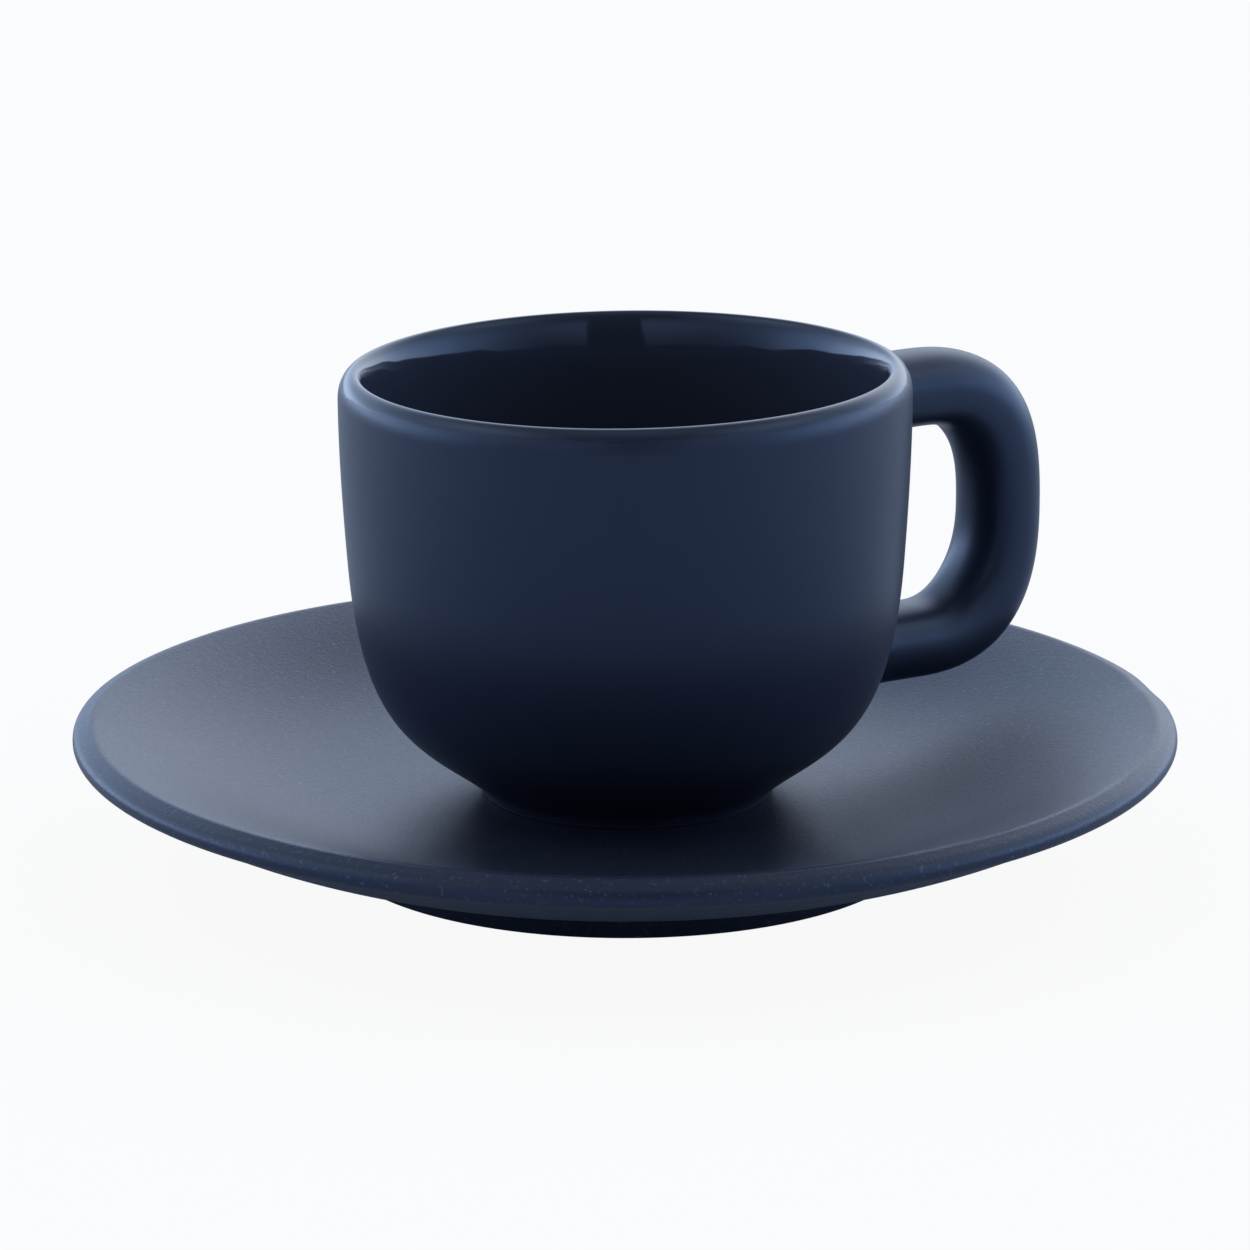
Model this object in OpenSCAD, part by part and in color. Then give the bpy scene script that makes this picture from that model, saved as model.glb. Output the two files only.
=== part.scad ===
// Espresso cup standing on its saucer, in thick turned stoneware.
// The origin is the centre of the saucer's foot where it meets the table, +Z is up,
// and the cup's handle points along +X. All lengths are in millimetres.

/* [Cup] */
// Height of the cup from its foot to the top of its lip
cup_h = 47; // [44:0.5:52]
// Widest outside diameter of the cup, just below the lip
cup_d = 61.7; // [58:0.1:66]
// Outside diameter of the wall where the belly ends
waist_d = 60.2; // [57:0.1:61.5]
// Height above the cup's foot where the belly ends and the straight wall starts
belly_h = 26; // [22:0.5:28]
// Thickness of the wall
wall_t = 3.6; // [2.8:0.1:4]
// Thickness of the cup's floor
floor_t = 3.4; // [2.4:0.1:4.2]
// Outside diameter of the turned foot ring
cup_foot_d = 31.8; // [28:0.2:34]
// Height of the foot ring
cup_foot_h = 0.9; // [0.6:0.1:1.6]
// Width of the foot ring's standing face
cup_foot_w = 2.4; // [1.6:0.1:4]

/* [Lip] */
// Diameter of the circle along the top of the lip
lip_d = 58.2; // [57.6:0.1:59.2]
// Depth over which the outside rounds in to the lip
lip_round_h = 4.2; // [3:0.1:6]
// Depth over which the inside opens out to the lip
lip_inner_h = 7; // [4:0.5:9]

/* [Handle] */
// Height of the middle of the handle above the cup's foot
handle_mid_h = 26; // [25.2:0.1:27]
// Height of the handle between the centre lines of its two arms
handle_rise = 28.5; // [27:0.1:29.4]
// Distance from the cup's axis to the centre line of the grip
handle_reach = 48.2; // [46:0.1:50]
// Length of the arms' bend, measured out from where the arms stop being straight
handle_bend = 11.6; // [9:0.1:13]
// Thickness of the handle's section, seen from the side
handle_t = 8.3; // [7.4:0.1:9]
// Width of the handle's section, across the cup
handle_w = 10.4; // [9:0.1:13]
// How far each side of the handle swells at the middle of its two bends
bend_swell = 0.4; // [0:0.1:0.6]
// How far the arms swell where they are joined to the wall
root_swell = 0.9; // [0:0.1:1.4]
// How deep the arms are let into the wall
root_sink = 1.2; // [0.6:0.1:1.6]

/* [Saucer] */
// Outside diameter of the saucer
saucer_d = 120; // [114:1:126]
// Height of the saucer from the table to the crest of its rim
saucer_h = 15; // [14:0.1:16.5]
// Height of the flat well that the cup stands on
well_h = 7; // [6.2:0.1:8]
// Diameter of the flat well
well_d = 36; // [34.5:0.5:42]
// Width of the rounded rim, from its crest to the outside
rim_w = 1.8; // [1.4:0.1:2.6]
// Width over which the rim turns down from its crest into the plate
rim_inner_w = 1.5; // [1:0.1:2.4]
// Height of the rim's crest above its outermost edge
rim_round_h = 0.8; // [0.6:0.1:1.6]
// Thickness of the rim, from its crest down to where the underside starts
rim_t = 3.5; // [3:0.1:4.4]
// Width of the rim's lower rounding, from the outside in to where the underside starts
rim_under_w = 2.8; // [2:0.1:4]
// Outside diameter of the saucer's foot ring where it stands
saucer_foot_d = 63.6; // [58:0.2:68]
// Height of the foot ring
saucer_foot_h = 2.6; // [2:0.1:3.2]
// Width of the foot ring's standing face
saucer_foot_w = 3; // [2:0.1:5]
// Depth of the recess inside the foot ring
recess_h = 2.4; // [1.6:0.1:2.8]

/* [Hidden] */
$fn = 96;

// Straight pieces in each curve of a turned outline
curve_steps = 14;
// Straight pieces in each rounded edge
edge_steps = 8;
// Straight pieces where the rim turns into the plate
rim_steps = 4;
// Corners of the handle's section
section_sides = 28;
// Steps along the handle's bend from one arm to the other
bend_steps = 36;
// Steps along each arm, from the end of its bend to the wall
root_steps = 7;

// Radii of the cup
cup_r = cup_d / 2;
waist_r = waist_d / 2;
lip_r = lip_d / 2;
cup_foot_r = cup_foot_d / 2;
// Radii of the saucer
saucer_r = saucer_d / 2;
well_r = well_d / 2;
saucer_foot_r = saucer_foot_d / 2;

// Slope of the belly where it leaves the foot, and of the wall at the belly's end
belly_start_angle = 41.5;
belly_end_angle = 86;
// How strongly each end of the belly pulls its curve, as shares of the belly's length
belly_pull_shares = [0.31, 0.69];
// The same for the belly's inside, from its end down to the floor
belly_inner_shares = [0.62, 0.36];
// How strongly each end of a plain curve pulls it, as shares of its length
even_pull_shares = [0.34, 0.34];
// A quarter turn drawn as one curve pulls these shares of its span
quarter_pull_shares = [0.39, 0.39];
// The lip's outside turns mostly near its crest
lip_outer_pull_shares = [0.65, 0.12];
// The lip's inside turns quickly at its crest and then opens out slowly
lip_inner_pull_shares = [0.165, 0.48];
// How far the inside wall leans out on its way up
inner_draft_angle = 2.5;

// How far the foot ring's side leans out on its way up to the belly
foot_lean = cup_foot_h * 0.25;
// Inside of the cup: height of its floor, and the radius at which its floor starts to turn up
inner_floor_h = cup_foot_h + floor_t;
inner_floor_r = cup_foot_r * 0.55;
// Radius of the inner wall at the end of the belly and under the lip
inner_waist_r = waist_r - wall_t;
inner_top_r = cup_r - wall_t;

// Superellipse powers of the handle's upper and lower bend, and of its section
bend_power_top = 2.6;
bend_power_low = 2.35;
section_power = 2.3;

// Slopes of the saucer: its plate inside the rim, and its underside at the foot and at the rim
plate_angle = 15;
underside_foot_angle = 16.5;
underside_rim_angle = 29.5;
// The plate's curve pulls more at the well than at the rim
plate_pull_shares = [0.30, 0.42];
// Crest of the rim, and the place where the plate starts inside it
crest_r = saucer_r - rim_w;
plate_r = crest_r - rim_inner_w;
plate_h = saucer_h - rim_inner_w * tan(plate_angle) / 2;
// How far the saucer's foot ring leans in on its way down to the table
saucer_foot_lean = saucer_foot_h * 0.45;

// Direction at an angle above the outward horizontal
function heading(angle) = [cos(angle), sin(angle)];

// Points of a smooth curve from a to b that leaves a along one heading and reaches b along another.
// The first point is left out, so that curves can follow each other.
function curve(a, angle_a, b, angle_b, pull_shares, steps) =
    let (
        span = norm(b - a),
        p = a + heading(angle_a) * span * pull_shares[0],
        q = b - heading(angle_b) * span * pull_shares[1]
    )
    [
        for (i = [1 : steps])
            let (t = i / steps, u = 1 - t)
            a * u^3 + p * 3 * u^2 * t + q * 3 * u * t^2 + b * t^3
    ];

// Outside of the cup as radius and height, from the foot ring's top up to the crest of the lip
function cup_outside() =
    let (
        foot_top = [cup_foot_r + foot_lean, cup_foot_h],
        belly_end = [waist_r, belly_h],
        shoulder = [cup_r, cup_h - lip_round_h],
        crest = [lip_r, cup_h]
    )
    concat(
        [foot_top],
        curve(foot_top, belly_start_angle, belly_end, belly_end_angle, belly_pull_shares, curve_steps),
        curve(belly_end, belly_end_angle, shoulder, 90, even_pull_shares, edge_steps),
        curve(shoulder, 90, crest, 180, lip_outer_pull_shares, edge_steps)
    );

// Inside of the cup, from the crest of the lip down to its axis
function cup_inside() =
    let (
        crest = [lip_r, cup_h],
        under_lip = [inner_top_r, cup_h - lip_inner_h],
        belly_end = [inner_waist_r, belly_h],
        floor_edge = [inner_floor_r, inner_floor_h]
    )
    concat(
        curve(crest, 180, under_lip, 270 - inner_draft_angle, lip_inner_pull_shares, curve_steps),
        curve(under_lip, 270 - inner_draft_angle, belly_end, 180 + belly_end_angle, even_pull_shares, edge_steps),
        curve(belly_end, 180 + belly_end_angle, floor_edge, 180, belly_inner_shares, curve_steps),
        [[0, inner_floor_h]]
    );

// Radius of the cup's outside at a height above its foot
wall_table = [for (p = cup_outside()) [p[1], p[0]]];
function wall_r(h) = lookup(h, wall_table);

// The bowl with its turned foot ring, one solid of revolution
module cup_body() {
    foot_in_r = cup_foot_r - cup_foot_w;
    color("#2f3f5c")
    translate([0, 0, well_h])
    rotate_extrude()
    polygon(concat(
        [[0, cup_foot_h], [foot_in_r - foot_lean, cup_foot_h], [foot_in_r, 0], [cup_foot_r, 0]],
        cup_outside(),
        cup_inside()
    ));
}

// Point of the handle's centre line as distance from the axis and height above the foot.
// The angle runs from -90, where the lower arm is straight, to 90, where the upper arm is.
function handle_point(angle) =
    let (
        power = angle > 0 ? bend_power_top : bend_power_low,
        out = abs(cos(angle))^(2 / power),
        up = sign(angle) * abs(sin(angle))^(2 / power)
    )
    [handle_reach - handle_bend * (1 - out), handle_mid_h + handle_rise / 2 * up];

// Direction square to the centre line, pointing out of the bend
function handle_normal(angle) =
    let (
        step = 1,
        low = handle_point(max(angle - step, -90)),
        high = handle_point(min(angle + step, 90)),
        along = (high - low) / norm(high - low)
    )
    [along[1], -along[0]];

// One corner of the section, in units of its half thickness and half width
function section_corner(i) =
    let (turn = 360 * i / section_sides)
    [
        sign(cos(turn)) * abs(cos(turn))^(2 / section_power),
        sign(sin(turn)) * abs(sin(turn))^(2 / section_power)
    ];

// Ring of the handle's surface round its centre line at an angle of the bend
function bend_ring(angle) =
    let (
        c = handle_point(angle),
        n = handle_normal(angle),
        half_t = handle_t / 2 + bend_swell * sin(2 * angle)^2
    )
    [
        for (i = [0 : section_sides - 1])
            let (s = section_corner(i), off = s[0] * half_t)
            [c[0] + n[0] * off, s[1] * handle_w / 2, c[1] + n[1] * off]
    ];

// Ring let into the wall at the foot of an arm, which follows the wall's own surface.
// side is 1 for the upper arm and -1 for the lower one.
function sunk_ring(side) =
    let (c = handle_point(90 * side))
    [
        for (i = [0 : section_sides - 1])
            let (
                s = section_corner(i),
                y = s[1] * (handle_w / 2 + root_swell),
                h = c[1] + s[0] * side * (handle_t / 2 + root_swell),
                r = wall_r(h) - root_sink
            )
            [sqrt(r^2 - y^2), y, h]
    ];

// Rings of one arm between its bend and the wall: each is a share of the way there,
// and the swell comes in only close to the wall
function arm_ring(side, share) =
    let (
        start = bend_ring(90 * side),
        end = sunk_ring(side),
        swell_share = share^4
    )
    [
        for (i = [0 : section_sides - 1])
            [
                start[i][0] + (end[i][0] - start[i][0]) * share,
                start[i][1] + (end[i][1] - start[i][1]) * swell_share,
                start[i][2] + (end[i][2] - start[i][2]) * swell_share
            ]
    ];

// The handle, formed apart from the bowl and joined to its wall at both arms
module cup_handle() {
    rings = concat(
        [for (k = [root_steps : -1 : 1]) arm_ring(-1, k / root_steps)],
        [for (k = [0 : bend_steps]) bend_ring(-90 + 180 * k / bend_steps)],
        [for (k = [1 : root_steps]) arm_ring(1, k / root_steps)]
    );
    last = len(rings) - 1;
    n = section_sides;
    // Middle of each end's cap, on the same sunken surface of the wall
    low_c = handle_point(-90);
    high_c = handle_point(90);
    low_tip = [wall_r(low_c[1]) - root_sink, 0, low_c[1]];
    high_tip = [wall_r(high_c[1]) - root_sink, 0, high_c[1]];
    points = concat([for (ring = rings) each ring], [low_tip, high_tip]);
    low_i = n * (last + 1);
    high_i = low_i + 1;
    sides = [
        for (k = [0 : last - 1], i = [0 : n - 1])
            let (a = k * n + i, b = k * n + (i + 1) % n)
            each [[a, b + n, b], [a, a + n, b + n]]
    ];
    low_cap = [for (i = [0 : n - 1]) [low_i, i, (i + 1) % n]];
    high_cap = [for (i = [0 : n - 1]) [high_i, last * n + (i + 1) % n, last * n + i]];
    color("#2c3b57")
    translate([0, 0, well_h])
    polyhedron(points, concat(sides, low_cap, high_cap));
}

// The saucer with its foot ring, one solid of revolution
module saucer() {
    foot_in_r = saucer_foot_r - saucer_foot_w;
    foot_root = [saucer_foot_r + saucer_foot_lean, saucer_foot_h];
    rim_low = [saucer_r - rim_under_w, saucer_h - rim_t];
    edge = [saucer_r, saucer_h - rim_round_h];
    crest = [crest_r, saucer_h];
    plate_top = [plate_r, plate_h];
    well_edge = [well_r, well_h];
    color("#55637f")
    rotate_extrude()
    polygon(concat(
        [[0, recess_h], [foot_in_r - saucer_foot_lean, recess_h], [foot_in_r, 0], [saucer_foot_r, 0]],
        [foot_root],
        curve(foot_root, underside_foot_angle, rim_low, underside_rim_angle, even_pull_shares, edge_steps),
        curve(rim_low, underside_rim_angle, edge, 90, quarter_pull_shares, edge_steps),
        curve(edge, 90, crest, 180, quarter_pull_shares, edge_steps),
        curve(crest, 180, plate_top, 180 + plate_angle, even_pull_shares, rim_steps),
        curve(plate_top, 180 + plate_angle, well_edge, 180, plate_pull_shares, curve_steps),
        [[0, well_h]]
    ));
}

saucer();
cup_body();
cup_handle();
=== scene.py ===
import math

import bpy
import numpy as np
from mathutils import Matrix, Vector, noise


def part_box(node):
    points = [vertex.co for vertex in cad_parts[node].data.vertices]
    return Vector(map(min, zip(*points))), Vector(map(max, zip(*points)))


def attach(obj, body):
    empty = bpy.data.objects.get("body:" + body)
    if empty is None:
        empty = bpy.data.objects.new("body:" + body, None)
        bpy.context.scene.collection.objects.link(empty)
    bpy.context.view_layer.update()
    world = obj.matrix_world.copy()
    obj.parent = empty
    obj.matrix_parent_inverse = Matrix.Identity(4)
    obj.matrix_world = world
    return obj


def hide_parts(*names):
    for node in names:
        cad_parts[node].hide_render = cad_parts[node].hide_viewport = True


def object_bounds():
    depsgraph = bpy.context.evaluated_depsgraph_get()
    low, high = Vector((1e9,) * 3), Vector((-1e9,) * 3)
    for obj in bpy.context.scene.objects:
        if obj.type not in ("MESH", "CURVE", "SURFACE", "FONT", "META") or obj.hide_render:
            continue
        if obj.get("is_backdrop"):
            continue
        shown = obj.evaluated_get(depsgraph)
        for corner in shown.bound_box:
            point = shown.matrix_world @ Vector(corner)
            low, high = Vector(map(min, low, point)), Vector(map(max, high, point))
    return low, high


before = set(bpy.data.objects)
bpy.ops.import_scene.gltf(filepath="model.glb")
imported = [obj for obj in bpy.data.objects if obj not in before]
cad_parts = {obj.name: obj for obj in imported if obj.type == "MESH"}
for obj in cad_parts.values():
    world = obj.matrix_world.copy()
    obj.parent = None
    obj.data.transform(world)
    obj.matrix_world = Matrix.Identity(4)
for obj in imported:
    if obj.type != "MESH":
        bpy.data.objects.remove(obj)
cad_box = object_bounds()

# Units and directions. The camera looks along FORWARD, and RIGHT is the picture's right.
MM = 0.001
HANDLE_TURN = math.radians(30.0)
FORWARD = Vector((math.sin(HANDLE_TURN), math.cos(HANDLE_TURN), 0.0))
RIGHT = Vector((math.cos(HANDLE_TURN), -math.sin(HANDLE_TURN), 0.0))

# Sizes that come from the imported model
SAUCER_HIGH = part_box("saucer")[1]
CUP_LOW, CUP_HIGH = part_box("cup_body")
LOOP_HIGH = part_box("cup_handle")[1]
SAUCER_R = SAUCER_HIGH.x
SAUCER_H = SAUCER_HIGH.z
WELL_Z = CUP_LOW.z
CUP_R = CUP_HIGH.y
CUP_H = CUP_HIGH.z - CUP_LOW.z

# Steps round a turned piece
TURN_STEPS = 360


def heading(angle):
    """Direction in an outline at an angle, in degrees, above the outward horizontal."""
    return np.array([math.cos(math.radians(angle)), math.sin(math.radians(angle))])


def curve(start, start_angle, end, end_angle, pulls, steps):
    """Points of a smooth curve that leaves start along one heading and reaches end along another."""
    start, end = np.array(start), np.array(end)
    span = np.linalg.norm(end - start)
    p = start + heading(start_angle) * span * pulls[0]
    q = end - heading(end_angle) * span * pulls[1]
    points = []
    for i in range(1, steps + 1):
        t = i / steps
        u = 1.0 - t
        points.append(start * u ** 3 + p * 3 * u * u * t + q * 3 * u * t * t + end * t ** 3)
    return points


def lengths_along(points):
    """Length along a line of points from its start to each point."""
    steps = np.linalg.norm(np.diff(np.array(points), axis=0), axis=1)
    return np.concatenate([[0.0], np.cumsum(steps)])


def add_object(name, mesh):
    piece = bpy.data.objects.new(name, mesh)
    bpy.context.scene.collection.objects.link(piece)
    return piece


def smooth_mesh(name, verts, faces):
    mesh = bpy.data.meshes.new(name)
    mesh.from_pydata([tuple(v) for v in verts], [], faces)
    mesh.polygons.foreach_set("use_smooth", [True] * len(mesh.polygons))
    return mesh


def turned_mesh(name, outline, shape):
    """Mesh of an outline of (radius, height) points turned round the axis. The outline runs from the
    axis under the piece, round its outside and back to the axis. shape(angle, radius, height, along)
    returns a point, so that a piece can be a little out of true. along is the length along the outline."""
    lengths = lengths_along(outline)
    rings = range(1, len(outline) - 1)
    angles = [2 * math.pi * k / TURN_STEPS for k in range(TURN_STEPS)]
    verts = [shape(0.0, 0.0, outline[0][1], 0.0)]
    along = [0.0]
    for i in rings:
        for angle in angles:
            verts.append(shape(angle, outline[i][0], outline[i][1], lengths[i]))
            along.append(lengths[i])
    verts.append(shape(0.0, 0.0, outline[-1][1], lengths[-1]))
    along.append(lengths[-1])
    n = TURN_STEPS
    last_ring = len(outline) - 3
    faces = []
    for k in range(n):
        nxt = (k + 1) % n
        faces.append((0, 1 + nxt, 1 + k))
        faces.append((len(verts) - 1, 1 + last_ring * n + k, 1 + last_ring * n + nxt))
        for i in range(last_ring):
            low = 1 + i * n
            high = low + n
            faces.append((low + k, low + nxt, high + nxt, high + k))
    mesh = smooth_mesh(name, verts, faces)
    store = mesh.attributes.new("along", "FLOAT", "POINT")
    store.data.foreach_set("value", along)
    mesh.update()
    return add_object(name, mesh)


def flat_middle(radius, height, steps):
    """Points of a flat middle, from just inside its radius to the axis."""
    return [np.array((radius * i / steps, height)) for i in range(steps - 1, -1, -1)]


def soft_noise(point, size, seed):
    """Smooth noise from about -1 to 1 whose bumps are about size across."""
    return noise.noise(Vector(point) / size + Vector((seed, -seed, 2.0 * seed)))


# The cup. Heights in its outline are above its own foot.
FOOT_R = 15.9 * MM
FOOT_H = 0.9 * MM
FOOT_W = 2.4 * MM
FOOT_LEAN = 0.22 * MM
FOOT_EDGE = 0.25 * MM
BLEND_W, BLEND_H = 0.9 * MM, 0.65 * MM
WAIST_R = 30.1 * MM
BELLY_H = 26.0 * MM
WALL_T = 3.6 * MM
FLOOR_H = 4.3 * MM
FLOOR_R = 8.7 * MM
LIP_R = 29.1 * MM
LIP_ROUND_H = 2.9 * MM
LIP_OPEN_H = 7.0 * MM
FOOT_LOW_ANGLE, FOOT_HIGH_ANGLE = 88.0, 72.0
FOOT_SIDE_SHARE = 0.75
BELLY_START, BELLY_END, DRAFT = 41.5, 86.0, 2.5
BELLY_PULLS = (0.31, 0.69)
INNER_BELLY_PULLS = (0.62, 0.36)
EVEN_PULLS = (0.34, 0.34)
QUARTER_PULLS = (0.39, 0.39)
LIP_ROUND_PULLS = (0.62, 0.20)
LIP_OPEN_PULLS = (0.165, 0.48)

# Steps along each curve of the cup's outline. The blend over the foot takes the place of the first
# steps of the belly.
FOOT_STEPS, BLEND_STEPS, BELLY_STEPS, BELLY_SKIPPED, WALL_STEPS = 6, 8, 60, 4, 24
LIP_STEPS, LIP_OPEN_STEPS, INNER_WALL_STEPS, INNER_BELLY_STEPS = 30, 44, 20, 44

# The cup is a little out of true: its rim is higher on the picture's right, and its foot
# stands a little to the right of the saucer's middle
RIM_RISE = 0.0132
FOOT_SHIFT = 0.25 * MM


def warp(point):
    """Moves a point of the cup, given with its height above the table, out of true."""
    share = max(point.z - WELL_Z, 0.0) / CUP_H
    side = point.dot(RIGHT)
    moved = point + RIGHT * (FOOT_SHIFT * (1.0 - share))
    moved.z += RIM_RISE * side * share
    return moved


def cup_outline():
    """The cup's outline, and where in it the outside starts, at the foot, and the lip's crest is."""
    foot_top = (FOOT_R + FOOT_LEAN, FOOT_H)
    belly_end = (WAIST_R, BELLY_H)
    shoulder = (CUP_R, CUP_H - LIP_ROUND_H)
    crest = (LIP_R, CUP_H)
    under_lip = (CUP_R - WALL_T, CUP_H - LIP_OPEN_H)
    inner_end = (WAIST_R - WALL_T, BELLY_H)
    inner_foot = FOOT_R - FOOT_W
    foot_side = (FOOT_R + FOOT_LEAN, FOOT_H * FOOT_SIDE_SHARE)
    blend_end = (FOOT_R + BLEND_W, FOOT_H + BLEND_H)
    points = [np.array(p) for p in (
        (0.0, FOOT_H), (inner_foot / 2, FOOT_H), (inner_foot - FOOT_LEAN - FOOT_EDGE, FOOT_H),
        (inner_foot - FOOT_LEAN, FOOT_H - FOOT_EDGE), (inner_foot, FOOT_EDGE),
        (inner_foot + FOOT_EDGE, 0.0), (FOOT_R - FOOT_EDGE, 0.0),
    )]
    points += curve((FOOT_R - FOOT_EDGE, 0.0), 0, (FOOT_R, FOOT_EDGE), 90, QUARTER_PULLS, FOOT_STEPS)
    side_index = len(points)
    points += curve((FOOT_R, FOOT_EDGE), FOOT_LOW_ANGLE, foot_side, FOOT_HIGH_ANGLE, EVEN_PULLS,
                    FOOT_STEPS)
    points += curve(foot_side, FOOT_HIGH_ANGLE, blend_end, BELLY_START, EVEN_PULLS, BLEND_STEPS)
    points += curve(foot_top, BELLY_START, belly_end, BELLY_END, BELLY_PULLS,
                    BELLY_STEPS)[BELLY_SKIPPED:]
    points += curve(belly_end, BELLY_END, shoulder, 90, EVEN_PULLS, WALL_STEPS)
    points += curve(shoulder, 90, crest, 180, LIP_ROUND_PULLS, LIP_STEPS)
    crest_index = len(points) - 1
    points += curve(crest, 180, under_lip, 270 - DRAFT, LIP_OPEN_PULLS, LIP_OPEN_STEPS)
    points += curve(under_lip, 270 - DRAFT, inner_end, 180 + BELLY_END, EVEN_PULLS, INNER_WALL_STEPS)
    points += curve(inner_end, 180 + BELLY_END, (FLOOR_R, FLOOR_H), 180, INNER_BELLY_PULLS,
                    INNER_BELLY_STEPS)
    points += flat_middle(FLOOR_R, FLOOR_H, 4)
    return points, side_index, crest_index


# How uneven the inside of the lip is: height of its fine and wide ripples and their sizes. They
# grow over a short ramp from the crest, and go down to the end given.
LIP_RIPPLE = 0.035 * MM
LIP_RIPPLE_SIZE, LIP_RIPPLE_SEED = 3.4 * MM, 3.1
WIDE_RIPPLE_SIZE, WIDE_RIPPLE_SEED, WIDE_RIPPLE_SHARE = 10.2 * MM, 7.7, 0.6
RIPPLE_RAMP = 2 * MM
RIPPLE_END = 21 * MM


def make_cup():
    outline, _, crest_index = cup_outline()
    crest_at = lengths_along(outline)[crest_index]

    def shape(angle, radius, height, along):
        out = Vector((math.cos(angle), math.sin(angle), 0.0))
        point = out * radius + Vector((0.0, 0.0, height + WELL_Z))
        below_crest = along - crest_at
        if radius > 0.0 and 0.0 < below_crest < RIPPLE_END:
            ramp = min(below_crest / RIPPLE_RAMP, 1.0)
            ripple = soft_noise(point, LIP_RIPPLE_SIZE, LIP_RIPPLE_SEED)
            ripple += WIDE_RIPPLE_SHARE * soft_noise(point, WIDE_RIPPLE_SIZE, WIDE_RIPPLE_SEED)
            point += out * (LIP_RIPPLE * ramp * ripple)
        return warp(point)

    piece = turned_mesh("cup_bowl", outline, shape)
    store = piece.data.attributes["along"]
    values = np.zeros(len(piece.data.vertices), np.float32)
    store.data.foreach_get("value", values)
    store.data.foreach_set("value", values - crest_at)
    return piece


# The handle: its centre line is a superellipse, and so is its section. LOOP_T and LOOP_W are half
# its thickness and half its width.
LOOP_MID_Z = WELL_Z + 26.0 * MM
LOOP_RISE = 28.5 * MM
LOOP_REACH = 48.2 * MM
LOOP_BEND = 11.6 * MM
LOOP_T = LOOP_HIGH.x - LOOP_REACH
LOOP_W = 5.2 * MM
BEND_SWELL = 0.4 * MM
LOOP_POWER_TOP, LOOP_POWER_LOW, SECTION_POWER = 2.6, 2.35, 2.3
ROOT_SWELL = 1.1 * MM
ROOT_SINK = 1.2 * MM
ROOT_FLARE = 5
LOOP_SIDES = 72
LOOP_STEPS = 120
ROOT_STEPS = 26
LINE_POINTS = 2001
LINE_SMOOTHINGS = 4


def signed_power(value, power):
    return math.copysign(abs(value) ** power, value)


def loop_point(angle):
    """Point of the handle's centre line, as distance from the axis and height. The angle runs from
    -90 degrees at the lower arm to 90 at the upper one."""
    power = LOOP_POWER_TOP if angle > 0 else LOOP_POWER_LOW
    out = abs(math.cos(math.radians(angle))) ** (2 / power)
    up = signed_power(math.sin(math.radians(angle)), 2 / power)
    return np.array([LOOP_REACH - LOOP_BEND * (1 - out), LOOP_MID_Z + LOOP_RISE / 2 * up])


def loop_line():
    """The handle's centre line as evenly spaced points, with their outward directions and the half
    thickness of the section there."""
    angles = np.linspace(-90.0, 90.0, LINE_POINTS)
    fine = np.array([loop_point(angle) for angle in angles])
    lengths = lengths_along(fine)
    at = np.linspace(0.0, lengths[-1], LOOP_STEPS + 1)
    points = np.stack([np.interp(at, lengths, fine[:, 0]), np.interp(at, lengths, fine[:, 1])], -1)
    half_t = LOOP_T + BEND_SWELL * np.sin(2 * np.radians(np.interp(at, lengths, angles))) ** 2
    for _ in range(LINE_SMOOTHINGS):
        points[1:-1] = (points[:-2] + 2 * points[1:-1] + points[2:]) / 4
    tangents = np.gradient(points, axis=0)
    tangents[0] = (1.0, 0.0)
    tangents[-1] = (-1.0, 0.0)
    tangents /= np.linalg.norm(tangents, axis=1)[:, None]
    normals = np.stack([tangents[:, 1], -tangents[:, 0]], -1)
    return points, normals, half_t


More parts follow.
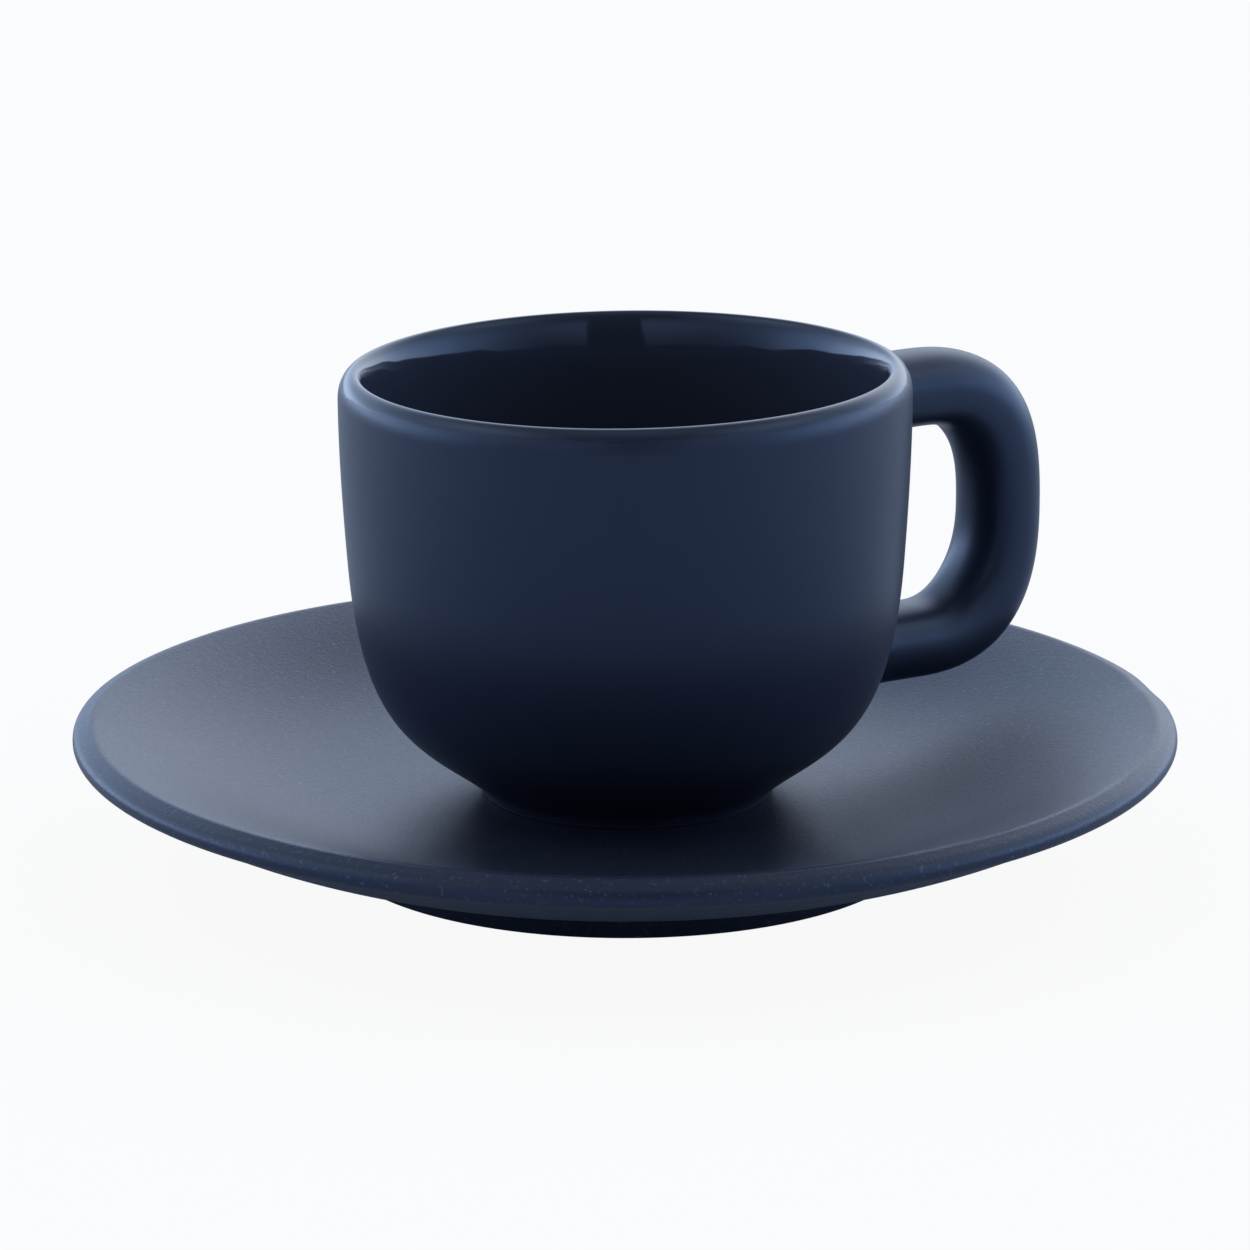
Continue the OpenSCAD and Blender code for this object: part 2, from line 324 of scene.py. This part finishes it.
def make_loop():
    outline, side_index, crest_index = cup_outline()
    side = np.array(outline[side_index:crest_index + 1])
    points, normals, half_t = loop_line()
    corners = []
    for i in range(LOOP_SIDES):
        turn = 2 * math.pi * i / LOOP_SIDES
        corners.append((signed_power(math.cos(turn), 2 / SECTION_POWER),
                        signed_power(math.sin(turn), 2 / SECTION_POWER)))

    def wall_radius(z):
        """Radius of the cup's outside at a height above the table."""
        return float(np.interp(z - WELL_Z, side[:, 1], side[:, 0]))

    def plain_ring(k):
        centre, normal = points[k], normals[k] * half_t[k]
        return [Vector((centre[0] + normal[0] * a, b * LOOP_W, centre[1] + normal[1] * a))
                for a, b in corners]

    def root_ring(k, up):
        centre = points[k]
        ring = []
        for a, b in corners:
            y = b * (LOOP_W + ROOT_SWELL)
            z = centre[1] + a * up * (LOOP_T + ROOT_SWELL)
            radius = wall_radius(z) - ROOT_SINK
            ring.append(Vector((math.sqrt(radius * radius - y * y), y, z)))
        return ring

    def arm(k, up):
        start, end = plain_ring(k), root_ring(k, up)
        rings = []
        for step in range(1, ROOT_STEPS + 1):
            share = step / ROOT_STEPS
            swell = share ** ROOT_FLARE
            rings.append([Vector((s.x + (e.x - s.x) * share, s.y + (e.y - s.y) * swell,
                                  s.z + (e.z - s.z) * swell)) for s, e in zip(start, end)])
        return rings

    rings = arm(0, -1)[::-1]
    rings += [plain_ring(k) for k in range(LOOP_STEPS + 1)]
    rings += arm(LOOP_STEPS, 1)
    n = LOOP_SIDES
    verts = [warp(v) for ring in rings for v in ring]
    faces = []
    for k in range(len(rings) - 1):
        for i in range(n):
            a, b = k * n + i, k * n + (i + 1) % n
            faces.append((a, b, b + n, a + n))
    for ring in (0, len(rings) - 1):
        centre = sum((verts[ring * n + i] for i in range(n)), Vector()) / n
        verts.append(centre)
        tip = len(verts) - 1
        for i in range(n):
            edge = (ring * n + i, ring * n + (i + 1) % n)
            faces.append((tip, edge[1], edge[0]) if ring == 0 else (tip, edge[0], edge[1]))
    mesh = smooth_mesh("cup_loop", verts, faces)
    mesh.update()
    return add_object("cup_loop", mesh)


# The saucer
WELL_R = 18.0 * MM
RIM_W = 2.2 * MM
RIDGE_R = 0.45 * MM
RIDGE_ANGLE = 27.0
EDGE_PULLS = (0.40, 0.40)
RIM_ROUND_H = 1.75 * MM
RIM_T = 3.5 * MM
RIM_UNDER_W = 2.8 * MM
PLATE_FOOT_R = 31.8 * MM
PLATE_FOOT_H = 2.6 * MM
PLATE_FOOT_W = 3.0 * MM
PLATE_FOOT_LEAN = 1.17 * MM
PLATE_FOOT_EDGE = 0.35 * MM
PLATE_FOOT_LOW_ANGLE, PLATE_FOOT_ANGLE = 76.0, 60.0
RECESS_H = 2.4 * MM
PLATE_ANGLE, UNDER_FOOT_ANGLE, UNDER_RIM_ANGLE = 15.0, 16.5, 29.5
PLATE_PULLS = (0.30, 0.56)

# Steps along each curve of the saucer's outline
PLATE_FOOT_EDGE_STEPS, PLATE_FOOT_STEPS, UNDER_STEPS = 6, 10, 40
RIM_STEPS, RIDGE_STEPS, PLATE_STEPS = 18, 12, 70

# The saucer is a little out of true: its rim is higher at the picture's left and right, and has a
# shallow dent at the right. The dent ends at DENT_REACH times its size, and it is pushed in and down
# by these shares of its depth.
RIM_LIFT = 0.7 * MM
DENT_TURN = math.radians(11.0)
DENT_DEPTH = 0.2 * MM
DENT_SIZE = 3.8 * MM
DENT_REACH = 3.0
DENT_IN, DENT_DOWN = 0.6, 0.8


def saucer_outline():
    inner_foot = PLATE_FOOT_R - PLATE_FOOT_W
    foot_root = (PLATE_FOOT_R + PLATE_FOOT_LEAN, PLATE_FOOT_H)
    rim_low = (SAUCER_R - RIM_UNDER_W, SAUCER_H - RIM_T)
    edge = (SAUCER_R, SAUCER_H - RIM_ROUND_H)
    ridge = SAUCER_R - RIM_W
    ridge_out = (ridge + RIDGE_R, SAUCER_H - RIDGE_R * math.tan(math.radians(RIDGE_ANGLE)) / 2)
    ridge_in = (ridge - RIDGE_R, SAUCER_H - RIDGE_R * math.tan(math.radians(PLATE_ANGLE)) / 2)
    foot_out = (PLATE_FOOT_R, PLATE_FOOT_EDGE)
    recess_r = inner_foot - PLATE_FOOT_LEAN
    points = [np.array(p) for p in (
        (0.0, RECESS_H), (inner_foot * 0.35, RECESS_H), (inner_foot * 0.7, RECESS_H),
        (recess_r - PLATE_FOOT_EDGE, RECESS_H), (recess_r, RECESS_H - PLATE_FOOT_EDGE),
        (inner_foot, PLATE_FOOT_EDGE), (inner_foot + PLATE_FOOT_EDGE, 0.0),
        (PLATE_FOOT_R - PLATE_FOOT_EDGE, 0.0),
    )]
    points += curve(points[-1], 0, foot_out, PLATE_FOOT_LOW_ANGLE, QUARTER_PULLS, PLATE_FOOT_EDGE_STEPS)
    points += curve(foot_out, PLATE_FOOT_LOW_ANGLE, foot_root, PLATE_FOOT_ANGLE, EVEN_PULLS,
                    PLATE_FOOT_STEPS)
    points += curve(foot_root, UNDER_FOOT_ANGLE, rim_low, UNDER_RIM_ANGLE, EVEN_PULLS, UNDER_STEPS)
    points += curve(rim_low, UNDER_RIM_ANGLE, edge, 90, QUARTER_PULLS, RIM_STEPS)
    points += curve(edge, 90, ridge_out, 180 - RIDGE_ANGLE, EDGE_PULLS, RIM_STEPS)
    points += curve(ridge_out, 180 - RIDGE_ANGLE, ridge_in, 180 + PLATE_ANGLE, EVEN_PULLS, RIDGE_STEPS)
    points += curve(ridge_in, 180 + PLATE_ANGLE, (WELL_R, WELL_Z), 180, PLATE_PULLS, PLATE_STEPS)
    points += flat_middle(WELL_R, WELL_Z, 5)
    return points


def make_saucer():
    dent = (RIGHT * math.cos(DENT_TURN) + FORWARD * math.sin(DENT_TURN)) * SAUCER_R
    dent.z = SAUCER_H

    def shape(angle, radius, height, along):
        out = Vector((math.cos(angle), math.sin(angle), 0.0))
        point = out * radius + Vector((0.0, 0.0, height))
        if radius > PLATE_FOOT_R:
            share = (radius - PLATE_FOOT_R) / (SAUCER_R - PLATE_FOOT_R)
            point.z += RIM_LIFT * (out.dot(RIGHT) * share) ** 2
        away = (point - dent).length / DENT_SIZE
        if away < DENT_REACH:
            depth = DENT_DEPTH * math.exp(-away * away)
            point -= (out * DENT_IN + Vector((0.0, 0.0, DENT_DOWN))) * depth
        return point

    return turned_mesh("saucer_plate", saucer_outline(), shape)


# Materials
def new_material(name):
    material = bpy.data.materials.new(name)
    material.use_nodes = True
    tree = material.node_tree
    tree.nodes.clear()
    output = tree.nodes.new("ShaderNodeOutputMaterial")
    shader = tree.nodes.new("ShaderNodeBsdfPrincipled")
    tree.links.new(shader.outputs["BSDF"], output.inputs["Surface"])
    return material, tree, shader


def noise_texture(tree, coordinates, size, detail, roughness):
    texture = tree.nodes.new("ShaderNodeTexNoise")
    texture.inputs["Scale"].default_value = 1.0 / size
    texture.inputs["Detail"].default_value = detail
    texture.inputs["Roughness"].default_value = roughness
    tree.links.new(coordinates, texture.inputs["Vector"])
    return texture.outputs["Fac"]


def map_range(tree, value, low, high, out_low, out_high, smooth=False):
    node = tree.nodes.new("ShaderNodeMapRange")
    if smooth:
        node.interpolation_type = "SMOOTHSTEP"
    node.inputs["From Min"].default_value = low
    node.inputs["From Max"].default_value = high
    node.inputs["To Min"].default_value = out_low
    node.inputs["To Max"].default_value = out_high
    tree.links.new(value, node.inputs["Value"])
    return node.outputs["Result"]


def math_node(tree, operation, a, b):
    node = tree.nodes.new("ShaderNodeMath")
    node.operation = operation
    for socket, value in zip(node.inputs, (a, b)):
        if isinstance(value, (int, float)):
            socket.default_value = value
        else:
            tree.links.new(value, socket)
    return node.outputs["Value"]


def colour_mix(tree, factor, first, second):
    node = tree.nodes.new("ShaderNodeMix")
    node.data_type = "RGBA"
    tree.links.new(factor, node.inputs["Factor"])
    for socket, value in ((node.inputs["A"], first), (node.inputs["B"], second)):
        if isinstance(value, tuple):
            socket.default_value = value
        else:
            tree.links.new(value, socket)
    return node.outputs["Result"]


def bump(tree, height, distance, strength):
    node = tree.nodes.new("ShaderNodeBump")
    node.inputs["Distance"].default_value = distance
    node.inputs["Strength"].default_value = strength
    tree.links.new(height, node.inputs["Height"])
    return node.outputs["Normal"]


def object_coordinates(tree):
    return tree.nodes.new("ShaderNodeTexCoord").outputs["Object"]


# The glazes: their colours, roughnesses and levels of gloss
NAVY = (0.0165, 0.020, 0.0375, 1.0)
NAVY_DEEP = (0.0145, 0.0175, 0.033, 1.0)
NAVY_GLOSS = (0.026, 0.033, 0.054, 1.0)
SPEC_TINT = (0.45, 0.63, 1.0, 1.0)
SATIN_ROUGH = (0.35, 0.41)
SAUCER_ROUGH = (0.31, 0.42)
GLOSS_ROUGH = 0.07
SATIN_GLAZE = 0.62
GLOSS_GLAZE = 0.40
LOOP_GLAZE = 0.72
SAUCER_GLAZE = 0.6
SPECK = (0.10, 0.13, 0.19, 1.0)
SPECK_START, SPECK_FULL, SPECK_SHARE = 0.60, 0.72, 0.35

# The noises in the glazes: size, detail and roughness, and the levels that most of a noise is between
CLOUD = (9 * MM, 3.0, 0.5)
GRAIN = (0.35 * MM, 2.0, 0.6)
SAUCER_CLOUD = (12 * MM, 4.0, 0.55)
SAUCER_GRAIN = (0.45 * MM, 3.0, 0.7)
FLECK = (0.5 * MM, 2.0, 0.5)
LINE_WAVE = (6 * MM, 2.0, 0.5)
NOISE_LOW, NOISE_HIGH = 0.2, 0.8

# How deep the grain is, and how strongly it shows
GRAIN_DEPTH, GRAIN_STRENGTH = 0.012 * MM, 0.5
SAUCER_GRAIN_DEPTH, SAUCER_GRAIN_STRENGTH = 0.05 * MM, 0.8

# The gloss starts this far down the outside from the lip's crest, on a wavy line with a soft edge
GLAZE_LINE = 1.8 * MM
LINE_WAVE_H = 0.35 * MM
LINE_EDGE = 0.25 * MM


def satin_parts(tree, coordinates):
    """The satin glaze's grain, its colour and its roughness."""
    grain = noise_texture(tree, coordinates, *GRAIN)
    colour = colour_mix(tree, noise_texture(tree, coordinates, *CLOUD), NAVY_DEEP, NAVY)
    return grain, colour, map_range(tree, grain, NOISE_LOW, NOISE_HIGH, *SATIN_ROUGH)


def cup_material():
    material, tree, shader = new_material("navy_satin_and_gloss")
    coordinates = object_coordinates(tree)
    grain, colour, satin = satin_parts(tree, coordinates)
    along = tree.nodes.new("ShaderNodeAttribute")
    along.attribute_name = "along"
    wave = noise_texture(tree, coordinates, *LINE_WAVE)
    wave = map_range(tree, wave, NOISE_LOW, NOISE_HIGH, -LINE_WAVE_H, LINE_WAVE_H)
    edge = math_node(tree, "ADD", along.outputs["Fac"], wave)
    gloss = map_range(tree, edge, -GLAZE_LINE - LINE_EDGE, -GLAZE_LINE + LINE_EDGE, 0.0, 1.0, True)
    level = map_range(tree, gloss, 0.0, 1.0, SATIN_GLAZE, GLOSS_GLAZE)
    rough = tree.nodes.new("ShaderNodeMix")
    tree.links.new(gloss, rough.inputs["Factor"])
    tree.links.new(satin, rough.inputs["A"])
    rough.inputs["B"].default_value = GLOSS_ROUGH
    satin_share = map_range(tree, gloss, 0.0, 1.0, 1.0, 0.0)
    fine = math_node(tree, "MULTIPLY", grain, satin_share)
    shader.inputs["Specular Tint"].default_value = SPEC_TINT
    tree.links.new(level, shader.inputs["Specular IOR Level"])
    tree.links.new(colour_mix(tree, gloss, colour, NAVY_GLOSS), shader.inputs["Base Color"])
    tree.links.new(rough.outputs["Result"], shader.inputs["Roughness"])
    tree.links.new(bump(tree, fine, GRAIN_DEPTH, GRAIN_STRENGTH), shader.inputs["Normal"])
    return material


def loop_material():
    material, tree, shader = new_material("navy_satin")
    grain, colour, satin = satin_parts(tree, object_coordinates(tree))
    shader.inputs["Specular Tint"].default_value = SPEC_TINT
    shader.inputs["Specular IOR Level"].default_value = LOOP_GLAZE
    tree.links.new(colour, shader.inputs["Base Color"])
    tree.links.new(satin, shader.inputs["Roughness"])
    tree.links.new(bump(tree, grain, GRAIN_DEPTH, GRAIN_STRENGTH), shader.inputs["Normal"])
    return material


def saucer_material():
    material, tree, shader = new_material("navy_matt_speckle")
    coordinates = object_coordinates(tree)
    cloud = noise_texture(tree, coordinates, *SAUCER_CLOUD)
    grain = noise_texture(tree, coordinates, *SAUCER_GRAIN)
    fleck = noise_texture(tree, coordinates, *FLECK)
    specks = map_range(tree, fleck, SPECK_START, SPECK_FULL, 0.0, SPECK_SHARE, True)
    colour = colour_mix(tree, specks, colour_mix(tree, cloud, NAVY_DEEP, NAVY), SPECK)
    rough = map_range(tree, grain, NOISE_LOW, NOISE_HIGH, *SAUCER_ROUGH)
    uneven = bump(tree, grain, SAUCER_GRAIN_DEPTH, SAUCER_GRAIN_STRENGTH)
    shader.inputs["Specular Tint"].default_value = SPEC_TINT
    shader.inputs["Specular IOR Level"].default_value = SAUCER_GLAZE
    tree.links.new(colour, shader.inputs["Base Color"])
    tree.links.new(rough, shader.inputs["Roughness"])
    tree.links.new(uneven, shader.inputs["Normal"])
    return material


def dress(piece, material, node, body):
    piece.data.materials.append(material)
    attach(piece, body)
    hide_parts(node)


dress(make_cup(), cup_material(), "cup_body", "cup")
dress(make_loop(), loop_material(), "cup_handle", "cup")
dress(make_saucer(), saucer_material(), "saucer", "saucer")


# Floor: a pale matt plane. The camera sees most of it as white, so that only the shadow shows.
FLOOR_SIZE = 8.0
FLOOR_GLOW = 0.93
FLOOR_PALE = (0.61, 0.66, 0.74, 1.0)


def make_floor():
    mesh = bpy.data.meshes.new("floor")
    half = FLOOR_SIZE / 2
    corners = [(-half, -half, 0), (half, -half, 0), (half, half, 0), (-half, half, 0)]
    mesh.from_pydata(corners, [], [(0, 1, 2, 3)])
    floor = add_object("floor", mesh)
    material = bpy.data.materials.new("pale_floor")
    material.use_nodes = True
    tree = material.node_tree
    tree.nodes.clear()
    output = tree.nodes.new("ShaderNodeOutputMaterial")
    matt = tree.nodes.new("ShaderNodeBsdfDiffuse")
    matt.inputs["Color"].default_value = FLOOR_PALE
    glow = tree.nodes.new("ShaderNodeEmission")
    mix = tree.nodes.new("ShaderNodeMixShader")
    path = tree.nodes.new("ShaderNodeLightPath")
    seen = math_node(tree, "MULTIPLY", path.outputs["Is Camera Ray"], FLOOR_GLOW)
    tree.links.new(seen, mix.inputs["Fac"])
    tree.links.new(matt.outputs["BSDF"], mix.inputs[1])
    tree.links.new(glow.outputs["Emission"], mix.inputs[2])
    tree.links.new(mix.outputs["Shader"], output.inputs["Surface"])
    mesh.materials.append(material)
    floor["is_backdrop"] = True


# The studio's soft lights. Each has its turn from the camera's side towards the picture's right, its
# half width, its height above the horizon, its half height, all in degrees, its level and its colour.
# A half width of 180 goes all round.
SOFT_LIGHTS = (
    (-106, 68, 8, 42, 3.05, (0.63, 0.78, 1.0)),
    (102, 68, 8, 42, 3.05, (0.60, 0.76, 1.0)),
    (-88, 70, 50, 26, 1.60, (0.92, 0.97, 1.0)),
    (88, 70, 50, 26, 1.50, (0.92, 0.97, 1.0)),
    (-160, 50, 27, 43, 1.30, (0.56, 0.73, 1.0)),
    (158, 50, 26, 45, 2.00, (0.83, 0.89, 1.0)),
    (-138, 55, 4, 14, 2.00, (0.56, 0.71, 1.0)),
    (140, 55, 4, 14, 1.10, (0.60, 0.75, 1.0)),
    (0, 180, 90, 40, 0.45, (0.9, 0.95, 1.0)),
)

# The light in front is two flats with a narrow dark gap between them
FRONT_LIGHT = (0, 100, 22, 29, 1.10, (0.76, 0.83, 1.0))
GAP_LEFT, GAP_RIGHT, GAP_EDGE = math.radians(-9.0), math.radians(16.0), math.radians(1.0)


def make_world():
    world = bpy.data.worlds.new("studio")
    bpy.context.scene.world = world
    world.use_nodes = True
    tree = world.node_tree
    tree.nodes.clear()
    output = tree.nodes.new("ShaderNodeOutputWorld")
    background = tree.nodes.new("ShaderNodeBackground")
    direction = tree.nodes.new("ShaderNodeTexCoord").outputs["Generated"]

    def along(axis):
        dot = tree.nodes.new("ShaderNodeVectorMath")
        dot.operation = "DOT_PRODUCT"
        dot.inputs[1].default_value = axis
        tree.links.new(direction, dot.inputs[0])
        return dot.outputs["Value"]

    def turn_from(centre):
        """Angle round from a heading that is itself given as a turn from the camera's side."""
        facing = -FORWARD * math.cos(centre) + RIGHT * math.sin(centre)
        side = RIGHT * math.cos(centre) + FORWARD * math.sin(centre)
        return math_node(tree, "ARCTAN2", along(side), along(facing))

    rise = math_node(tree, "ARCSINE", along(Vector((0.0, 0.0, 1.0))), 0.0)

    def hill(angle, half_width):
        """1 where the angle is zero, falling smoothly to 0 at the half width."""
        return map_range(tree, math_node(tree, "ABSOLUTE", angle, 0.0), 0.0, half_width, 1.0, 0.0, True)

    def soft_light(light, mask=None):
        turn, half_width, height, half_height, level, colour = light
        fall = hill(math_node(tree, "SUBTRACT", rise, math.radians(height)), math.radians(half_height))
        if half_width < 180:
            across = hill(turn_from(math.radians(turn)), math.radians(half_width))
            fall = math_node(tree, "MULTIPLY", fall, across)
        if mask is not None:
            fall = math_node(tree, "MULTIPLY", fall, mask)
        scaled = tree.nodes.new("ShaderNodeVectorMath")
        scaled.operation = "SCALE"
        scaled.inputs[0].default_value = tuple(channel * level for channel in colour)
        tree.links.new(fall, scaled.inputs["Scale"])
        return scaled.outputs["Vector"]

    turn = turn_from(0.0)
    left = map_range(tree, turn, GAP_LEFT - GAP_EDGE, GAP_LEFT, 1.0, 0.0, True)
    right = map_range(tree, turn, GAP_RIGHT, GAP_RIGHT + GAP_EDGE, 0.0, 1.0, True)
    total = soft_light(FRONT_LIGHT, math_node(tree, "ADD", left, right))
    for light in SOFT_LIGHTS:
        added = tree.nodes.new("ShaderNodeVectorMath")
        tree.links.new(total, added.inputs[0])
        tree.links.new(soft_light(light), added.inputs[1])
        total = added.outputs["Vector"]

    # The camera itself sees plain white
    camera_ray = tree.nodes.new("ShaderNodeLightPath").outputs["Is Camera Ray"]
    tree.links.new(colour_mix(tree, camera_ray, total, (1.0, 1.0, 1.0, 1.0)), background.inputs["Color"])
    tree.links.new(background.outputs["Background"], output.inputs["Surface"])


make_floor()
make_world()

# Camera: a long lens about five saucer widths away, a little above the rim
CAMERA_DISTANCE = 613.7 * MM
CAMERA_RISE = math.radians(15.157)
CAMERA_TARGET = Vector((0.0, 0.0, 25.33 * MM))
PHOTO_PIXELS = 1250
FOCAL_PIXELS = 5654.0
SENSOR = 36.0


def make_camera():
    lens = bpy.data.cameras.new("camera")
    lens.sensor_width = SENSOR
    lens.lens = FOCAL_PIXELS / PHOTO_PIXELS * SENSOR
    camera = add_object("camera", lens)
    to_camera = -FORWARD * math.cos(CAMERA_RISE) + Vector((0.0, 0.0, math.sin(CAMERA_RISE)))
    camera.location = CAMERA_TARGET + to_camera * CAMERA_DISTANCE
    camera.rotation_euler = (-to_camera).to_track_quat("-Z", "Y").to_euler()
    return camera


bpy.context.scene.camera = make_camera()
bpy.context.scene.view_settings.view_transform = "Standard"

seen_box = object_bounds()
[[list(corner) for corner in box] for box in (cad_box, seen_box)]
